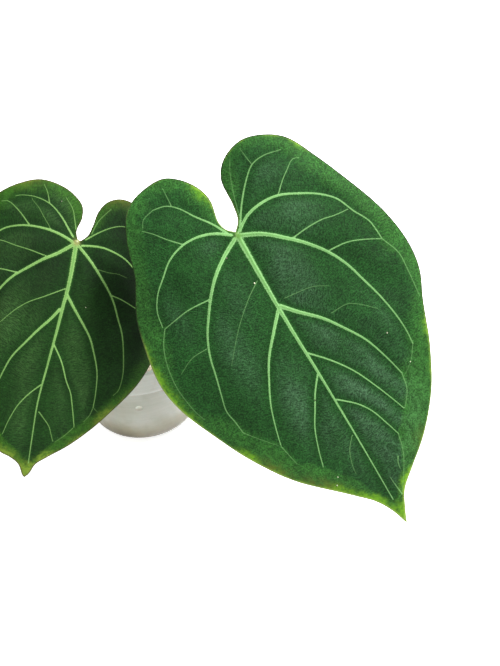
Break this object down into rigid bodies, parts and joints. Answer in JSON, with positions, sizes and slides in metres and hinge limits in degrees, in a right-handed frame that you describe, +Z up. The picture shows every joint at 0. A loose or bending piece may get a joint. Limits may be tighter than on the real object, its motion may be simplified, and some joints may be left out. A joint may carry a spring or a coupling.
{
  "type": "potted velvet-leaf anthurium",
  "caption": "Young aroid house plant with velvet heart-shaped leaves and pale raised veins on long arching stalks, in a round translucent nursery pot of chunky mix.",
  "frame": {"origin": "centre of the pot's flat foot, on the surface that the pot stands on", "axes": "+Z up along the pot's axis, -Y towards the side that the leaves face, +X towards the larger leaf's side"},
  "size_m": [0.247, 0.201, 0.2245],
  "materials": {
    "pot": "translucent milky moulded plastic, satin, browner where the mix shows through at the foot",
    "potting_mix": "chunky bark and pumice mix, rough",
    "stem": "green-brown stem with papery tan sheaths",
    "petiole": "smooth green stalk, slightly waxy",
    "leaf": "velvet dark green with pale green raised veins and a brighter margin"
  },
  "bodies": {
    "root": {"pot": "pot", "potting_mix": "potting_mix", "stem": "stem", "petiole_right": "petiole", "petiole_left": "petiole", "leaf_right": "leaf", "leaf_left": "leaf"}
  },
  "joints": []
}
